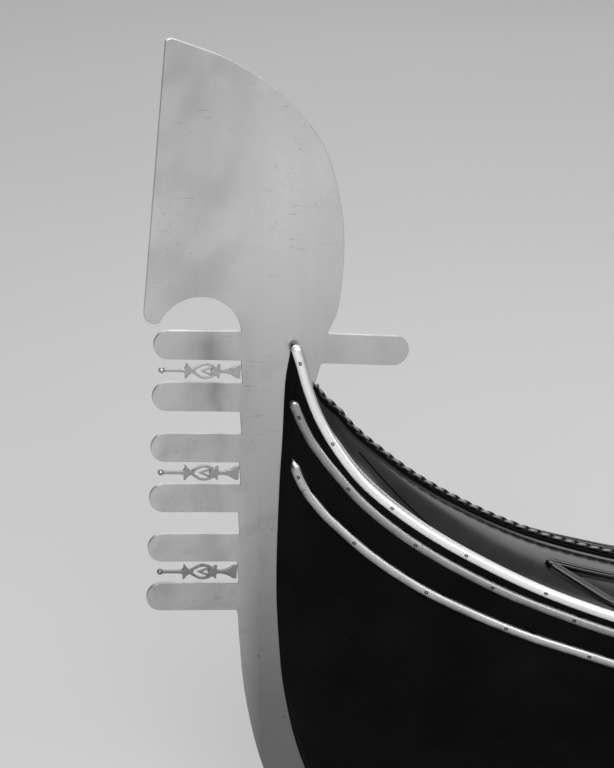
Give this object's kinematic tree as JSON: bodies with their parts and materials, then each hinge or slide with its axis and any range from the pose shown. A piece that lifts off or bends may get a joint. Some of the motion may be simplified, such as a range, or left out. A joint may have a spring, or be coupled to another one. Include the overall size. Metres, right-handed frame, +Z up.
{
  "type": "gondola boat",
  "caption": "Black gondola boat with a toothed steel bow iron, bright half-round mouldings, crowned decks, carved bulkheads with locker doors, and padded seats.",
  "frame": {"origin": "at the waterline, amidships, on the straight line from stem to stern", "axes": "+X forward towards the bow iron, +Y to port, +Z up"},
  "size_m": [10.7786, 1.4584, 1.9339],
  "materials": {
    "bow_iron_steel": "satin, hand polished, with fine scratches and pits",
    "cast_flower": "cast, dark in the hollows, rubbed bright on the high places",
    "bright_moulding": "polished half-round, with screw heads",
    "worn_moulding": "worn half-round, tarnished at its ends",
    "brass_fitting": "polished",
    "black_paint": "glossy black paint over wood, with light scratches",
    "carved_wood": "carved and varnished",
    "walnut": "oiled walnut",
    "floor_wood": "dark painted boards, worn",
    "black_leather": "quilted, with light piping",
    "pale_cloth": "woven cotton"
  },
  "bodies": {
    "root": {"side_planking_port": "black_paint", "side_planking_starboard": "black_paint", "bottom_planking": "black_paint", "top_strake_port": "black_paint", "top_strake_starboard": "black_paint", "moulding_upper_port": "bright_moulding", "moulding_upper_starboard": "bright_moulding", "moulding_middle_port": "worn_moulding", "moulding_middle_starboard": "worn_moulding", "moulding_lower_port": "worn_moulding", "moulding_lower_starboard": "worn_moulding", "foredeck_port": "black_paint", "afterdeck_port": "black_paint", "foredeck_starboard": "black_paint", "afterdeck_starboard": "black_paint", "foredeck_ridge": "black_paint", "afterdeck_ridge": "black_paint", "bow_iron": "bow_iron_steel", "bow_iron_flower_1": "cast_flower", "bow_iron_flower_2": "cast_flower", "bow_iron_flower_3": "cast_flower", "stem_post": "black_paint", "stern_post": "black_paint", "stern_iron": "bow_iron_steel", "gunwale_port": "black_paint", "gunwale_starboard": "black_paint", "finial_port": "brass_fitting", "finial_starboard": "brass_fitting", "rowlock": "walnut", "floorboards": "floor_wood", "foredeck_bulkhead": "carved_wood", "afterdeck_bulkhead": "carved_wood", "thwart_forward": "carved_wood", "thwart_aft": "carved_wood", "seat_base": "black_paint", "seat_cushion": "pale_cloth", "seat_back": "black_leather", "side_bench_port": "black_paint", "side_cushion_port": "black_leather", "side_bench_starboard": "black_paint", "side_cushion_starboard": "black_leather", "footrest": "walnut"},
    "fore_door": {"fore_locker_door": "carved_wood"},
    "aft_door": {"aft_locker_door": "carved_wood"}
  },
  "joints": [
    {"name": "fore_door_hinge", "type": "hinge", "parent": "root", "child": "fore_door", "pos_m": [2.6382, 0.315, 0.1], "axis": [0, 0, -1], "range_deg": [0, 100]},
    {"name": "aft_door_hinge", "type": "hinge", "parent": "root", "child": "aft_door", "pos_m": [-2.3282, 0.3242, 0.1], "axis": [0, 0, 1], "range_deg": [0, 100]}
  ]
}
